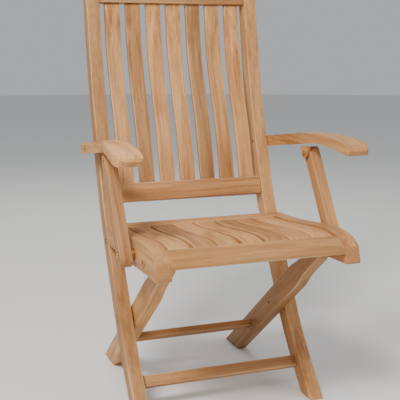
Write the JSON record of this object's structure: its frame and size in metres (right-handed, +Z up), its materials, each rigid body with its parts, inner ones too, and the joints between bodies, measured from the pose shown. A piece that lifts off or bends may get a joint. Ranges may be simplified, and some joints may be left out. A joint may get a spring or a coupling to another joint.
{
  "type": "folding chair",
  "caption": "Folding wooden garden armchair with slatted seat and back, curved stiles, crossing rear legs and arms that rise with the seat.",
  "frame": {"origin": "on the floor under the middle of the bounding box, with the chair open", "axes": "+X across the chair, +Y from the front to the back, +Z up; the chair faces -Y and left is the -X side"},
  "size_m": [0.593, 0.6372, 1.03],
  "materials": {
    "teak": "oiled, satin",
    "teak_pale": "oiled, satin, paler on upward faces",
    "brass": "satin, lightly tarnished"
  },
  "bodies": {
    "frame": {"arm_bolt_l": "brass", "arm_bolt_r": "brass", "back_bottom_rail": "teak_pale", "back_slat_1": "teak_pale", "back_slat_2": "teak_pale", "back_slat_3": "teak_pale", "back_slat_4": "teak_pale", "back_slat_5": "teak_pale", "back_slat_6": "teak_pale", "back_slat_7": "teak_pale", "back_top_rail": "teak_pale", "front_stretcher": "teak", "leg_bolt_l": "brass", "leg_bolt_r": "brass", "leg_washer_l": "brass", "leg_washer_r": "brass", "plate_bolt_l": "brass", "plate_bolt_r": "brass", "seat_plate_l": "brass", "seat_plate_r": "brass", "stile_l": "teak", "stile_r": "teak"},
    "arm_left": {"arm_bracket_l": "teak", "arm_l": "teak", "post_pin_l": "brass"},
    "arm_right": {"arm_bracket_r": "teak", "arm_r": "teak", "post_pin_r": "brass"},
    "seat": {"post_bolt_l": "brass", "post_bolt_r": "brass", "post_spacer_l": "brass", "post_spacer_r": "brass", "rail_peg_l": "brass", "rail_peg_r": "brass", "seat_front_rail": "teak_pale", "seat_pivot_l": "brass", "seat_pivot_r": "brass", "seat_rail_l": "teak", "seat_rail_r": "teak", "seat_rear_rail": "teak_pale", "seat_slat_1": "teak_pale", "seat_slat_2": "teak_pale", "seat_slat_3": "teak_pale", "seat_slat_4": "teak_pale", "seat_slat_5": "teak_pale", "seat_slat_6": "teak_pale", "seat_slat_7": "teak_pale"},
    "post_left": {"post_l": "teak"},
    "post_right": {"post_r": "teak"},
    "rear_legs": {"rear_leg_l": "teak", "rear_leg_r": "teak", "rear_stretcher": "teak", "slide_pin_l": "brass", "slide_pin_r": "brass"}
  },
  "joints": [
    {"name": "seat_fold", "type": "hinge", "parent": "frame", "child": "seat", "pos_m": [0, 0.08336, 0.408], "axis": [-1, 0, 0], "range_deg": [0, 90]},
    {"name": "arm_left_fold", "type": "hinge", "parent": "frame", "child": "arm_left", "pos_m": [0, 0.20136, 0.597], "axis": [-1, 0, 0], "range_deg": [0, 90]},
    {"name": "arm_right_fold", "type": "hinge", "parent": "frame", "child": "arm_right", "pos_m": [0, 0.20136, 0.597], "axis": [-1, 0, 0], "range_deg": [0, 90]},
    {"name": "post_left_fold", "type": "hinge", "parent": "seat", "child": "post_left", "pos_m": [0, -0.15264, 0.402], "axis": [-1, 0, 0], "range_deg": [-90, 0]},
    {"name": "post_right_fold", "type": "hinge", "parent": "seat", "child": "post_right", "pos_m": [0, -0.15264, 0.402], "axis": [-1, 0, 0], "range_deg": [-90, 0]},
    {"name": "rear_leg_fold", "type": "hinge", "parent": "frame", "child": "rear_legs", "pos_m": [0, 0.01236, 0.2], "axis": [-1, 0, 0], "range_deg": [0, 60]}
  ],
  "couplings": [
    {"joint": "arm_left_fold", "follows": "seat_fold", "ratio": 1},
    {"joint": "arm_right_fold", "follows": "seat_fold", "ratio": 1},
    {"joint": "post_left_fold", "follows": "seat_fold", "ratio": -1},
    {"joint": "post_right_fold", "follows": "seat_fold", "ratio": -1},
    {"joint": "rear_leg_fold", "follows": "seat_fold", "ratio": 0.6644}
  ]
}
